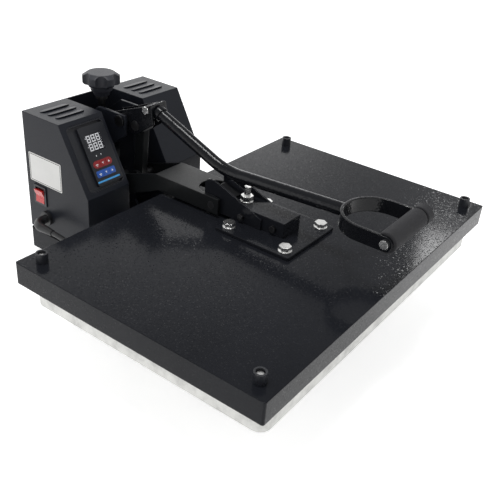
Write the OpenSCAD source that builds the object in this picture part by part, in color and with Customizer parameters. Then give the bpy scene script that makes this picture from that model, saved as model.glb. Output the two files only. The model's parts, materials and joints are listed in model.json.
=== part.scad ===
// Clamshell flat heat press with a 580 x 380 mm heated platen, closed, standing on its rubber feet.
// Millimetres. Origin on the floor under the middle of the whole press, +X to the right, +Y to the back, +Z up.
// The sizes along Y are given from the middle of the platens.

/* [Platens] */
// How far the sheet cover stands out past each end of the heated platen
cover_margin_x = 18; // [14:1:24]
// How far the cover stands out past the platen in front and behind
cover_margin_y = 10; // [8:1:14]
// Height of the cover's skirt
cover_h = 32; // [28:1:40]
// Sheet thickness of the cover
cover_sheet = 2; // [1:0.5:3]
// Corner radius of the cover in plan
cover_corner_r = 3; // [3:1:10]
// Width of the heated platen, the pad and the bed
platen_w = 580; // [560:1:590]
// Depth of the heated platen, the pad and the bed
platen_d = 380; // [370:1:388]
// Thickness of the heated platen
platen_t = 20; // [18:1:24]
// Corner radius of the platen and the bed
platen_corner_r = 16; // [12:1:24]
// How far the platen stands out below the cover's skirt
platen_reach = 8; // [4:1:12]
// Thickness of the silicone pad
pad_t = 8; // [5:1:12]
// How far the pad stays inside the bed's edge
pad_inset = 2; // [1:1:10]
// Height of the lower bed's rim
bed_t = 19; // [14:1:26]
// Thickness of the lower bed's top plate and rim
bed_wall = 7; // [5:1:9]
// Diameter of the heating tube laid in the platen
heater_d = 8; // [6:1:9]
// Thickness of the insulation blanket
insulation_t = 10; // [6:1:13]

/* [Corner posts] */
// Distance of a post's middle from the end of the platen
post_inset_x = 6; // [6:1:12]
// Distance of a post's middle from the front or back of the platen
post_inset_y = 15; // [14:1:20]
// Outer diameter of a post
post_d = 16; // [14:1:20]
// Height of a post
post_h = 14; // [12:1:20]
// Shank diameter of a post's bolt
post_bolt_d = 5; // [4:1:6]

/* [Base] */
// Height of the base frame without its feet
base_h = 38; // [30:1:50]
// Sheet thickness of the base frame
base_sheet = 3; // [2:0.5:4]
// Depth of the plinth under the control boxes
plinth_d = 157; // [150:1:160]
// Width of the middle beam
beam_w = 76; // [60:1:76]
// Depth of the cross foot under the front of the bed
front_foot_d = 60; // [50:1:70]
// Distance of the cross foot's front edge from the middle of the bed
front_reach = 120; // [115:1:130]
// Diameter of a rubber foot
foot_d = 30; // [24:1:34]
// Height of a rubber foot
foot_h = 10; // [8:1:20]
// Distance of a rubber foot's middle from the base's edges
foot_inset = 24; // [20:1:28]
// Height of the rails that carry the bed
rail_h = 25; // [20:1:40]
// Length of the rails that carry the bed
rail_length = 480; // [400:1:520]
// Width of a rail
rail_w = 30; // [24:1:40]

/* [Control boxes] */
// Width of a control box
box_w = 86; // [84:1:87]
// Gap between the arm and a control box
box_gap = 14; // [12:1:20]
// Height of a control box
box_h = 200; // [196:1:210]
// Distance of the boxes' back from the middle of the platens
box_back = 395; // [394:1:400]
// Depth of a box at its top
box_top_d = 82; // [78:1:86]
// Depth of a box at its foot
box_foot_d = 140; // [137:1:146]
// Height of the sloping front
slope_h = 104; // [100:1:110]
// Sheet thickness of the boxes
box_sheet = 2; // [1.5:0.5:2.5]
// Length of a cooling slot in a box's top
slot_length = 52; // [40:1:60]
// Width of a cooling slot
slot_w = 7; // [4:1:8]
// Distance between the cooling slots
slot_pitch = 17.5; // [14:0.5:18]

/* [Control panel] */
// Width of the panel's window in the sloping front
window_w = 72; // [70:1:73]
// Length of the panel's window
window_l = 104; // [102:1:108]
// Depth of the panel's recess
recess = 4; // [3:0.5:6]
// Width of the raised keypad
keypad_w = 50; // [48:1:52]
// Length of the raised keypad
keypad_l = 92; // [90:1:96]
// Width of a key
key_w = 10; // [8:0.5:10.5]
// Height of a key
key_h = 9; // [7:0.5:9.5]
// Travel of a key
key_travel = 0.8; // [0.4:0.1:1]
// Width of the display
display_w = 32; // [28:1:36]
// Height of the display
display_h = 28; // [24:1:30]

/* [Mains] */
// Width of the switch's opening
switch_w = 24; // [22:1:26]
// Height of the switch's opening
switch_h = 29; // [28:1:32]
// Tilt of the rocker away from its middle
rocker_tilt = 9; // [5:1:9]
// Diameter of the mains cord
cord_d = 8; // [7:0.5:8]
// Outer radius of the coil, at the middle of the cord
coil_r = 54; // [54:1:56]

/* [Arm] */
// Width of the pressing arm
arm_w = 63; // [62:0.5:64]
// Sheet thickness of the arm
arm_sheet = 4; // [3:0.5:4.5]
// Height of the arm's top above the cover
arm_rise = 30.5; // [29:0.5:34]
// Gap between the arm's lower edge and the cover
arm_clear = 5; // [4:0.5:8]
// Where the arm's top plate ends at the back
web_back = 212; // [200:1:215]
// Where the arm's side plates end at the front
arm_front = 86; // [82:1:90]
// Distance of the arm's hinge from the middle of the platens
hinge_y = 330; // [328:1:332]
// How far the hinge lies below the cover's top
hinge_drop = 30; // [28:1:32]
// Diameter of the hinge pin
hinge_d = 16; // [14:1:18]
// Thickness of a tower plate
tower_t = 4.5; // [3.5:0.5:5]
// Running gap between the arm and a tower plate
tower_gap = 1; // [0.5:0.1:1.5]

/* [Platen yoke] */
// Width of the mounting plate
mount_w = 123; // [118:1:140]
// Depth of the mounting plate
mount_d = 128; // [124:1:140]
// Thickness of the mounting plate
mount_t = 5; // [4:1:8]
// Distance between the mounting bolts along X
mount_bolt_x = 94; // [90:1:96]
// Distance between the mounting bolts along Y
mount_bolt_y = 98; // [94:1:102]
// Diameter of the mounting bolts
mount_bolt_d = 10; // [8:1:10]
// Width of the pressing block
block_w = 42; // [38:1:42]
// Length of the pressing block
block_l = 135; // [130:1:140]
// Height of the pressing block above the mounting plate
block_h = 23; // [22:0.5:24]
// Thickness of a gusset plate
gusset_t = 3; // [2:0.5:3]
// Length of a gusset plate
gusset_l = 105; // [95:1:105]
// Height of a gusset's peak above the cover
gusset_rise = 54.5; // [50:0.5:56]

/* [Handle] */
// Diameter of the handle tube
tube_d = 19; // [18:0.5:22]
// Wall of the handle tube
tube_wall = 2; // [1.5:0.5:3]
// Radius of the tube's bend
tube_bend_r = 120; // [90:1:130]
// Distance of the tube's bend from the middle of the platens
bend_y = 99; // [95:1:103]
// Height of the tube's bend above the cover's top
bend_rise = 62; // [60:0.5:64]
// Reach of the tube in front of the middle of the platens
tube_reach = 104; // [100:1:110]
// Height of the tube's front end above the cover's top
tube_front_rise = 73; // [71:0.5:76]
// Distance of the handle's pivot from the middle of the platens
pivot_y = 292; // [290:1:293]
// Height of the handle's pivot above the cover's top
pivot_rise = 94; // [92:1:95]
// Diameter of the handle's pivot and of the link's pins
link_pin_d = 12; // [10:1:13]
// Distance from the pivot forward to the crank pin
crank_reach = 24; // [23.5:0.5:24.5]
// How far the crank pin lies below the pivot
crank_drop = 4; // [3.5:0.5:4.5]
// Distance from the arm's hinge forward to the link's lower pin
link_reach = 55; // [54:0.5:56]
// Height of the link's lower pin above the arm's hinge
link_rise = 25; // [24:0.5:26]
// Distance from the pivot forward to the fork's front edge
fork_reach = 56; // [52:1:60]
// Height of the fork's front corner above the pivot
fork_rise = 37; // [34:1:40]
// Length of the fork's front edge
fork_face = 30; // [28:1:32]
// Length of the fork behind the pivot
fork_tail = 30; // [26:1:32]
// Thickness of a fork plate
fork_t = 4; // [3:0.5:4]
// Gap between the fork and a tower plate
fork_gap = 5; // [4.5:0.5:5]
// Width of the hand grip's strap, outside
strap_w = 100; // [96:1:110]
// Height of the strap
strap_h = 21; // [18:1:24]
// Thickness of the strap
strap_t = 4; // [3:0.5:5]
// Distance from the strap's back to the grip's axis
strap_reach = 85; // [80:1:95]
// Diameter of the grip
grip_d = 29; // [26:1:34]
// Length of the grip's end cap outside the strap
cap_l = 18; // [14:1:22]
// Diameter of the rod through the grip
grip_rod_d = 8; // [6:1:10]

/* [Pressure screw] */
// Distance of the screw from the middle of the platens
screw_y = 360; // [359:1:361]
// Diameter of the screw
screw_d = 12; // [10:1:14]
// Diameter of the knob over its lobes
knob_d = 60; // [50:1:64]
// Height of the knob's lobed head
knob_head_h = 19; // [16:1:24]
// Number of lobes on the knob
knob_lobes = 6; // [5:1:7]
// Height of the knob's neck
knob_neck_h = 18; // [14:1:22]
// How far the knob's neck stands above the screw's bridge
knob_lift = 37; // [32:1:42]
// Upward travel of the screw
screw_travel = 8; // [4:1:10]

/* [Hidden] */
$fn = 64;

// Clearances
press_gap = 0.3;
running = 0.05;
slip = 0.2;
link_slack = 1.5;
bend_thinning = 0.05;
seat_gap = 0.05;

// Heights of the stack, from the floor up
base_z = foot_h;
base_top = base_z + base_h;
bed_z = base_top + rail_h;
pad_z = bed_z + bed_t;
platen_z = pad_z + pad_t + press_gap;
platen_top = platen_z + platen_t;
cover_z = platen_z + platen_reach;
top = cover_z + cover_h;
cover_under = top - cover_sheet;

// Cover and its posts
cover_w = platen_w + 2 * cover_margin_x;
cover_d = platen_d + 2 * cover_margin_y;
post_x = platen_w / 2 - post_inset_x;
post_y = platen_d / 2 - post_inset_y;

// Base, as wide as the arm, its gaps and the two boxes
box_in = arm_w / 2 + box_gap;
box_x = box_in + box_w;
base_w = 2 * box_x;
plinth_y = box_back - plinth_d;
beam_y = front_foot_d - front_reach;
tray_flange = 2 * foot_inset;
rail_front_y = -front_reach + front_foot_d / 2;
rail_ys = [rail_front_y, -rail_front_y + 20];
foot_xs = base_w / 2 - foot_inset;

// Control boxes
box_mid = box_x - box_w / 2;
box_skirt = 3;
box_strip_h = 12;
box_z = base_top + box_skirt;
box_top = base_top + box_h;
slope_top_y = box_back - box_top_d;
box_front = box_back - box_foot_d;
slope_z = box_top - slope_h;
slope_angle = atan2(slope_top_y - box_front, slope_h);
slope_length = slope_h / cos(slope_angle);

// Control panel, in the plane of the sloping front: right, up the slope and out of it
window_x = -box_in - 4.5 - window_w / 2;
window_y = -slope_length / 2;
tray_rim = 2;
keypad_x = window_x + window_w / 2 - tray_rim - keypad_w / 2 - 0.8;
keypad_proud = 1;
key_proud = 0.6;
key_depth = 2;
key_pitch = 12;
key_gap = 0.3;
key_mid_x = keypad_x - 2.2;
red_row = window_y - 14;
blue_row = red_row - 15;
display_y = window_y + 19.5;
board_boss_h = 6;
board_t = 1.6;
board_w = 40;
board_l = 80;

// Switch and cord outlet on the outer side of the left box
switch_y = box_back - 29.5;
switch_z = top - 25;
bezel = 2;
switch_depth = 22;
rocker_pocket = 12;
rocker_depth = 4;
rocker_pin_d = 4;
gland_y = box_back - 42;
gland_z = top - 62;
gland_d = 24;
gland_t = 5;
gland_bore_d = 16;
elbow_r = 16;
elbow_d = 14;
elbow_stub = 6;
elbow_taper = 28;
cord_x = -box_x - gland_t - elbow_stub - elbow_r;
cord_y = gland_y - elbow_r - elbow_taper;
cord_r = cord_d / 2;

// Mains cord: route from the elbow's end, as steps along X and Y and the share of the height still to drop
cord_floor = cord_r + 0.2;
cord_route = [
    [0, 0, 1], [0, -8, 1], [0, -24, 0.985], [-1, -40, 0.93], [-3, -56, 0.835], [-6, -72, 0.7], [-10, -88, 0.55],
    [-14, -104, 0.4], [-18, -120, 0.265], [-22, -136, 0.152], [-25, -152, 0.067], [-26, -168, 0.018],
    [-26.5, -184, 0], [-26.5, -200, 0], [-26.5, -216, 0], [-26.5, -232, 0]
];
cord_path = [for (p = cord_route) [cord_x + p[0], cord_y + p[1], cord_floor + p[2] * (gland_z - cord_floor)]];

// Mechanism, in the plane square to X: [y, z]
hinge = [hinge_y, top - hinge_drop];
pivot = [pivot_y, top + pivot_rise];
crank = pivot + [-crank_reach, -crank_drop];
link_pin = hinge + [-link_reach, link_rise];
arm_half = arm_w / 2;
arm_inner = arm_half - arm_sheet;
tower_out = arm_inner - tower_gap;
tower_in = tower_out - tower_t;
fork_out = tower_in - fork_gap;
fork_in = fork_out - fork_t;
link_half = fork_in - 2;
link_body_half = 6;
pin_r = link_pin_d / 2;
hinge_r = hinge_d / 2;
hub_r = hinge_r + 12;
eye_r = pin_r + 7;
pin_head_t = 3;

// Handle tube: from the socket down to the bend, then level to the grip
fork_front = pivot + [-fork_reach, fork_rise];
tube_back = fork_front - [0, 0.45 * fork_face];
tube_corner = [bend_y, top + bend_rise];
tube_front = [-tube_reach, top + tube_front_rise];
grip_y = tube_front[0] - strap_reach;
grip_z = tube_front[1] + 2;
strap_corner_r = strap_w / 2 - 3;
collar_d = tube_d + 4;
collar_l = 9;
fork_block_l = 20;
handle_bolt_d = 8;
tube_lean = atan2(tube_back[1] - tube_corner[1], tube_back[0] - tube_corner[0]);
tube_level = atan2(tube_corner[1] - tube_front[1], tube_corner[0] - tube_front[0]);
tube_turn = tube_lean - tube_level;
tube_setback = tube_bend_r * tan(tube_turn / 2);
handle_bolt = tube_back + (fork_block_l / 2) * [cos(tube_lean), sin(tube_lean)];

// Yoke on the cover's middle
mount_y = 3;
mount_z = top;
block_z = mount_z + mount_t;
block_top = block_z + block_h;
block_front = -25;
block_wall = 3;
gusset_in = block_w / 2;
gusset_out = gusset_in + gusset_t;
arch_r = gusset_out + 0.5;
yoke_pin = [block_front + block_l - 10, block_z + block_h / 2 + 0.5];
yoke_pin_d = 12;
gusset_back = yoke_pin[0] + 18;
gusset_front = gusset_back - gusset_l;
gusset_nose_r = 10;
arch_y = gusset_back - 1;
stud_y = block_front + 82;
stud_d = 10;
washer_t = 2;
mount_washer_d = 20;
mount_head_h = 6.4;
mount_head_d = 18.5;
side_bolt_z = block_z + 0.4 * block_h;
side_bolts = [[gusset_front + 35, side_bolt_z], [block_front + 18, side_bolt_z]];
side_bolt_d = 6;
side_head_d = 11;
side_head_h = 4;

// Pressure screw
screw_r = screw_d / 2;
bridge_top = top + 76;
bridge_h = 16;
bridge_d = 24;
tail_top = hinge[1] + 20;
tail_h = 18;
tail_d = 18;
pad_foot_d = 18;
pad_foot_t = 8;
pad_socket = 4;
screw_z = tail_top + press_gap + pad_foot_t - pad_socket;
knob_z = bridge_top + knob_lift;
knob_collar_h = 6;
knob_angle = 47;
screw_grip = 20;

// Coil of the spare cord on the floor, and its end
layer_step = cord_d + 0.7;
coil_pitch = cord_d + 0.8;
coil_turns = 4.5;
coil_rings = 24;
coil_start = cord_path[len(cord_path) - 1];
coil_centre = [coil_start[0] + coil_r, coil_start[1] - cord_d];
coil_floor = coil_start[2];

// Shared shapes

// Moves what is drawn from the middle of the platens, so that the origin lies under the middle of the press
middle_y = (box_back + grip_y - grip_d / 2) / 2;

module placed() {
    translate([0, -middle_y, 0]) children();
}

// Shape drawn in the plane square to X, as [y, z], and made solid from x0 to x1
module across(x0, x1) {
    translate([x0, 0, 0]) rotate([90, 0, 90]) linear_extrude(height = x1 - x0) children();
}

module both_sides() {
    children();
    mirror([1, 0, 0]) children();
}

module four_corners(dx, dy) {
    for (sx = [-1, 1], sy = [-1, 1]) translate([sx * dx, sy * dy, 0]) children();
}

module rounded_rect(w, d, r) {
    square([w - 2 * r, d], center = true);
    square([w, d - 2 * r], center = true);
    four_corners(w / 2 - r, d / 2 - r) circle(r = r);
}

module slot_2d(length, w) {
    square([length - w, w], center = true);
    for (s = [-1, 1]) translate([s * (length - w) / 2, 0]) circle(d = w);
}

// Round bar along X, through the point p = [y, z]
module x_rod(p, r, half) {
    translate([-half, p[0], p[1]]) rotate([0, 90, 0]) cylinder(r = r, h = 2 * half);
}

module headed_pin(p, r, half) {
    x_rod(p, r, half);
    both_sides() translate([half, p[0], p[1]]) rotate([0, 90, 0]) cylinder(r = r + 3, h = pin_head_t);
}

module tube_between(r_out, r_in, h) {
    difference() {
        cylinder(r = r_out, h = h);
        translate([0, 0, -1]) cylinder(r = r_in, h = h + 2);
    }
}

// Sheet tray, open at the bottom but for a flange turned in, with its corner at the origin
module folded_tray(w, d, h) {
    difference() {
        cube([w, d, h]);
        translate([base_sheet, base_sheet, base_sheet])
            cube([w - 2 * base_sheet, d - 2 * base_sheet, h - 2 * base_sheet]);
        translate([tray_flange / 2, tray_flange / 2, -1])
            cube([w - tray_flange, d - tray_flange, base_sheet + 2]);
    }
}

// Base

module base_plinth() {
    color("#1b1c1e") placed() translate([-base_w / 2, plinth_y, base_z]) folded_tray(base_w, plinth_d, base_h);
}

module base_beam() {
    color("#1b1c1e") placed() translate([-beam_w / 2, beam_y, base_z]) folded_tray(beam_w, plinth_y - beam_y, base_h);
}

module base_front_foot() {
    color("#1b1c1e") placed() translate([-base_w / 2, -front_reach, base_z]) folded_tray(base_w, front_foot_d, base_h);
}

module rubber_feet() {
    color("#101010") placed()
        for (x = [-foot_xs, foot_xs], y = [-front_reach + foot_inset, box_back - foot_inset])
            translate([x, y, 0]) cylinder(d1 = foot_d - 4, d2 = foot_d, h = foot_h);
}

module bed_rails() {
    color("#1b1c1e") placed() for (y = rail_ys) translate([-rail_length / 2, y - rail_w / 2, base_top])
        difference() {
            cube([rail_length, rail_w, rail_h]);
            translate([-1, base_sheet, -1]) cube([rail_length + 2, rail_w - 2 * base_sheet, rail_h - base_sheet + 1]);
        }
}

module lower_bed() {
    color("#b9bab6") placed() translate([0, 0, bed_z]) difference() {
        linear_extrude(height = bed_t) rounded_rect(platen_w, platen_d, platen_corner_r);
        translate([0, 0, -1]) linear_extrude(height = bed_t - bed_wall + 1) difference() {
            rounded_rect(platen_w - 2 * bed_wall, platen_d - 2 * bed_wall, platen_corner_r - bed_wall);
            for (y = rail_ys) translate([0, y]) square([platen_w, rail_w + 4], center = true);
        }
    }
}

module silicone_pad() {
    color("#c9c8c3") placed() translate([0, 0, pad_z]) linear_extrude(height = pad_t)
        rounded_rect(platen_w - 2 * pad_inset, platen_d - 2 * pad_inset, platen_corner_r - pad_inset);
}

// Tower, hinge and pivots

// Column on the plinth, with a nose at the top for the handle and a shelf behind for the screw
column_front = hinge_y - 20;
column_back = hinge_y + 15;

module tower_outline() {
    polygon([
        [column_front - 20, base_top], [column_front, base_top + 25], [column_front, pivot[1] - 44],
        [pivot_y - 10, pivot[1] - 24], [pivot_y - 12, pivot[1]], [pivot_y - 10, pivot[1] + 10],
        [hinge_y + 10, pivot[1] + 10], [screw_y + bridge_d / 2 + 2, bridge_top + 2],
        [screw_y + bridge_d / 2 + 2, bridge_top - bridge_h], [column_back, bridge_top - bridge_h - 16],
        [column_back, base_top + 25], [box_back - 12, base_top]
    ]);
}

module tower_plates() {
    color("#161719") placed() both_sides() across(tower_in, tower_out) difference() {
        tower_outline();
        translate(hinge) circle(r = hinge_r + running);
        translate(pivot) circle(r = pin_r + running);
    }
}

module screw_bridge() {
    color("#161719") placed() difference() {
        translate([-tower_in, screw_y - bridge_d / 2, bridge_top - bridge_h]) cube([2 * tower_in, bridge_d, bridge_h]);
        translate([0, screw_y, bridge_top - bridge_h - 1]) cylinder(r = screw_r + running, h = bridge_h + 2);
    }
}

// Hinge pin with its heads outside the arm, and the sleeve between the tower plates
module arm_hinge_pin() {
    color("#8d9092") placed() headed_pin(hinge, hinge_r, arm_half + slip);
}

module hinge_spacer() {
    color("#3a3b3c") placed() translate([-tower_in, hinge[0], hinge[1]]) rotate([0, 90, 0])
        tube_between(hinge_r + 5, hinge_r + slip, 2 * tower_in);
}

// Two stub pins that carry the fork, each with the sleeve that keeps the fork in the middle
module handle_pivot() {
    color("#8d9092") placed() both_sides() translate([0, pivot[0], pivot[1]]) rotate([0, 90, 0]) {
        translate([0, 0, fork_in]) cylinder(r = pin_r, h = tower_out - fork_in);
        translate([0, 0, tower_out]) cylinder(r = pin_r + 3, h = pin_head_t);
        translate([0, 0, fork_out + slip]) tube_between(pin_r + 4, pin_r + slip, fork_gap - slip);
    }
}

// Control boxes

// Side view of a box, with every wall moved in by t
module box_outline(t) {
    lean = tan(slope_angle);
    shift = t / cos(slope_angle);
    polygon([
        [box_back - t, box_z - (t > 0 ? 1 : 0)], [box_back - t, box_top - t],
        [slope_top_y + shift - t * lean, box_top - t],
        [box_front + t, slope_z + (t - shift) / lean], [box_front + t, box_z - (t > 0 ? 1 : 0)]
    ]);
}

module cooling_slots() {
    for (i = [-1, 0, 1]) translate([box_mid, box_back - box_top_d / 2 - 0.5 + i * slot_pitch, box_top - box_sheet - 1])
        linear_extrude(height = box_sheet + 2) slot_2d(slot_length, slot_w);
}

// Box on the +X side, with the strip inside its lower edge that stands on the plinth
module box_shell() {
    difference() {
        across(box_in, box_x) box_outline(0);
        across(box_in + box_sheet, box_x - box_sheet) box_outline(box_sheet);
        cooling_slots();
    }
    translate([box_in + box_sheet, box_front + box_sheet, base_top]) difference() {
        cube([box_w - 2 * box_sheet, box_foot_d - 2 * box_sheet, box_strip_h]);
        translate([box_sheet, box_sheet, -1])
            cube([box_w - 4 * box_sheet, box_foot_d - 4 * box_sheet, box_strip_h + 2]);
    }
}

// Places what is drawn as [right, up the slope, out of it] on the sloping front
module on_slope() {
    translate([0, slope_top_y, box_top]) rotate([90 - slope_angle, 0, 0]) children();
}

module left_box() {
    color("#1d1e20") placed() difference() {
        mirror([1, 0, 0]) box_shell();
        on_slope() translate([window_x, window_y, -3 * box_sheet])
            linear_extrude(height = 4 * box_sheet) rounded_rect(window_w, window_l, 8);
        translate([-box_x - 1, switch_y - switch_w / 2, switch_z - switch_h / 2])
            cube([box_sheet + 2, switch_w, switch_h]);
        translate([-box_x - 1, gland_y, gland_z]) rotate([0, 90, 0]) cylinder(d = gland_bore_d, h = box_sheet + 2);
    }
}

module right_box() {
    color("#1d1e20") placed() box_shell();
}

module rear_panel() {
    panel_h = box_top - base_top;
    color("#141517") placed() difference() {
        translate([-box_in, box_back - box_sheet, base_top]) cube([2 * box_in, box_sheet, panel_h]);
        for (i = [-2 : 2]) translate([i * 14, box_back + 1, base_top + panel_h / 4]) rotate([90, 0, 0])
            linear_extrude(height = box_sheet + 2) rotate(90) slot_2d(slot_length, slot_w);
    }
}

// Control panel

module panel_tray() {
    back = -recess - tray_rim;
    color("#141416") placed() on_slope() translate([window_x, window_y, 0]) {
        difference() {
            union() {
                translate([0, 0, back]) linear_extrude(height = -back)
                    rounded_rect(window_w - 2 * slip, window_l - 2 * slip, 8 - slip);
                translate([0, 0, back]) linear_extrude(height = -back - box_sheet - seat_gap)
                    rounded_rect(window_w + 3, window_l + 3, 8);
            }
            translate([0, 0, -recess]) linear_extrude(height = recess + 1)
                rounded_rect(window_w - 2 * tray_rim, window_l - 2 * tray_rim, 8 - tray_rim);
        }
        four_corners(board_w / 2 - 4, board_l / 2 - 4)
            translate([0, 0, back - board_boss_h]) cylinder(d = 6, h = board_boss_h);
    }
}

// Middle of key number i in its row
function key_x(i) = key_mid_x + (i - 1) * key_pitch;

module keypad_plate() {
    color("#18181b") placed() on_slope() difference() {
        translate([keypad_x, window_y, -recess]) linear_extrude(height = recess + keypad_proud)
            rounded_rect(keypad_w, keypad_l, 3);
        translate([key_mid_x, display_y, -recess - 1]) linear_extrude(height = recess + 3)
            square([display_w, display_h], center = true);
        for (i = [0 : 2], y = [red_row, blue_row]) translate([key_x(i), y, -recess - 1])
            linear_extrude(height = recess + 3) square([key_w + 2 * key_gap, key_h + 2 * key_gap], center = true);
    }
}

module display_window() {
    color("#2a2a2e") placed() on_slope() translate([key_mid_x, display_y, -recess])
        linear_extrude(height = recess + keypad_proud - 0.4) square([display_w, display_h], center = true);
}

module control_board() {
    color("#1e4a2a") placed() on_slope() translate([window_x, window_y, -recess - tray_rim - board_boss_h - board_t])
        linear_extrude(height = board_t) square([board_w, board_l], center = true);
}

module panel_key(i, row, tone) {
    color(tone) placed() on_slope() translate([key_x(i), row, -key_depth])
        linear_extrude(height = key_depth + keypad_proud + key_proud) rounded_rect(key_w, key_h, 2);
}

module key_red_set() { panel_key(0, red_row, "#a3262b"); }
module key_red_down() { panel_key(1, red_row, "#a3262b"); }
module key_red_up() { panel_key(2, red_row, "#a3262b"); }
module key_blue_set() { panel_key(0, blue_row, "#2450b4"); }
module key_blue_down() { panel_key(1, blue_row, "#2450b4"); }
module key_blue_up() { panel_key(2, blue_row, "#2450b4"); }

// Relay that switches the heater, standing on the plinth in the right box
module solid_state_relay() {
    color("#cfcfcb") placed() translate([box_mid - 23, box_back - 80, base_top]) difference() {
        cube([45, 58, 26]);
        for (y = [-1, 50]) translate([12.5, y, 16]) cube([20, 9, 11]);
    }
}

// Mains switch

module switch_housing() {
    color("#0e0e0f") placed() difference() {
        union() {
            translate([-box_x - bezel, switch_y - switch_w / 2 - 2, switch_z - switch_h / 2 - 2])
                cube([bezel, switch_w + 4, switch_h + 4]);
            translate([-box_x - 0.5, switch_y - switch_w / 2 + slip, switch_z - switch_h / 2 + slip])
                cube([switch_depth, switch_w - 2 * slip, switch_h - 2 * slip]);
        }
        translate([-box_x - bezel - 1, switch_y - switch_w / 2 + 2, switch_z - switch_h / 2 + 1.5])
            cube([rocker_pocket + bezel + 1, switch_w - 4, switch_h - 3]);
        rocker_axle(running);
    }
}

// Axle of the rocker, held in the housing's side walls
module rocker_axle(gap) {
    translate([-box_x + rocker_depth, switch_y, switch_z]) rotate([90, 0, 0])
        cylinder(r = rocker_pin_d / 2 + gap, h = switch_w - 2 + 2 * gap, center = true);
}

// Rocker turned about the axis along Y through the middle of its opening
module switch_rocker() {
    half = switch_h / 2 - 3;
    face = -rocker_depth - 4.5;
    color("#d8262b") placed() {
        translate([-box_x + rocker_depth, switch_y + switch_w / 2 - 2.4, switch_z])
            rotate([0, -rocker_tilt, 0]) rotate([90, 0, 0]) linear_extrude(height = switch_w - 4.8)
                polygon([[face, -half], [face + 2.5, 0], [face, half], [2, half * 0.6], [4, 0], [2, -half * 0.6]]);
        rocker_axle(0);
    }
}

// Mains cord

module cord_gland() {
    color("#0f0f10") placed() translate([-box_x, gland_y, gland_z]) rotate([0, 90, 0]) {
        translate([0, 0, -gland_t]) cylinder(d = gland_d, h = gland_t);
        cylinder(d = gland_bore_d - 2 * slip, h = box_sheet + 8);
    }
}

// Moulded strain relief that turns the cord towards the front
module cord_elbow() {
    color("#121213") placed() {
        translate([-box_x - gland_t - elbow_stub, gland_y, gland_z]) rotate([0, 90, 0])
            cylinder(d = elbow_d, h = elbow_stub);
        translate([-box_x - gland_t - elbow_stub, gland_y - elbow_r, gland_z]) rotate([0, 0, 90])
            rotate_extrude(angle = 90) translate([elbow_r, 0]) circle(d = elbow_d);
        translate([cord_x, gland_y - elbow_r, gland_z]) rotate([90, 0, 0])
            cylinder(d1 = elbow_d, d2 = cord_d + 2, h = elbow_taper);
    }
}

// Tube of n sides swept along the points of a path, with flat ends
module swept_tube(path, r, n) {
    last = len(path) - 1;
    function ahead(i) = path[min(i + 1, last)] - path[max(i - 1, 0)];
    rings = [for (i = [0 : last])
        let (t = ahead(i) / norm(ahead(i)), s0 = cross([0, 0, 1], t), s = s0 / norm(s0), u = cross(t, s))
        for (k = [0 : n - 1]) path[i] + r * (cos(360 * (k + 0.5) / n) * s + sin(360 * (k + 0.5) / n) * u)];
    walls = [for (i = [0 : last - 1], k = [0 : n - 1])
        let (a = i * n + k, b = i * n + (k + 1) % n)
        each [[a, a + n, b], [b, a + n, b + n]]];
    first_cap = [for (k = [1 : n - 2]) [0, k, k + 1]];
    last_cap = [for (k = [1 : n - 2]) [last * n, last * n + k + 1, last * n + k]];
    polyhedron(points = rings, faces = concat(walls, first_cap, last_cap));
}

module mains_cord() {
    color("#131314") placed() swept_tube(cord_path, cord_r, 8);
}

// Point of the coil after t turns: in at a steady rate, up a layer where the spiral turns back, and out again
function coil_radius(t) = coil_r - coil_pitch * min(t, coil_turns - t);
function coil_height(t) = coil_floor + layer_step * max(0, min(1, (t - coil_turns / 2 + 0.25) / 0.5));
function coil_point(t) = [
    coil_centre[0] + coil_radius(t) * cos(180 + 360 * t),
    coil_centre[1] + coil_radius(t) * sin(180 + 360 * t), coil_height(t)];

coil_end = coil_point(coil_turns);
plug_d = 37;
tail_path = [for (p = [[0, 10, 0], [0.4, 22, 0.6], [0.4, 36, 2.2], [0, 50, 4.2], [0, 62, 5.4], [0, 70, 5.4]])
    [coil_end[0] + p[0], coil_end[1] + p[1], coil_end[2] + p[2] * (plug_d / 2 - coil_end[2]) / 5.4]];
coil_path = concat(
    [coil_start],
    [for (i = [0 : coil_turns * coil_rings]) coil_point(i / coil_rings)],
    tail_path);
coil_gap = min([for (i = [0 : len(coil_path) - 1], j = [i + coil_rings / 2 : len(coil_path) - 1])
    norm(coil_path[i] - coil_path[j])]) - cord_d;
echo(coil_least_gap = coil_gap);

module cord_coil() {
    color("#131314") placed() swept_tube(coil_path, cord_r, 6);
}

module mains_plug() {
    start = tail_path[len(tail_path) - 1];
    color("#141415") placed() translate(start) rotate([-90, 0, 0]) {
        cylinder(d1 = cord_d + 4, d2 = cord_d + 8, h = 10);
        translate([0, 0, 10]) cylinder(d1 = 26, d2 = plug_d - 2, h = 12);
        translate([0, 0, 22]) cylinder(d = plug_d - 1, h = 18);
        for (s = [-1, 1]) translate([s * 9.5, 0, 40]) cylinder(d = 4.8, h = 19);
    }
}

// Pressing arm

module arm_wall_outline() {
    low = top + arm_clear;
    high = top + arm_rise;
    difference() {
        union() {
            polygon([
                [arm_front, low], [arm_front, high], [web_back, high],
                [hinge[0] + 0.34 * hub_r, hinge[1] + 0.94 * hub_r], [hinge[0], hinge[1]],
                [hinge[0] - 0.4 * hub_r, hinge[1] - 0.92 * hub_r], [cover_d / 2 + 5, low]
            ]);
            translate(hinge) circle(r = hub_r);
            translate([hinge[0], tail_top - tail_h]) square([screw_y + tail_d / 2 + 1 - hinge[0], tail_h]);
        }
        translate(hinge) circle(r = hinge_r + running);
        translate(link_pin) circle(r = pin_r + running);
        translate(yoke_pin) circle(d = yoke_pin_d + 2 * running);
    }
}

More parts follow.
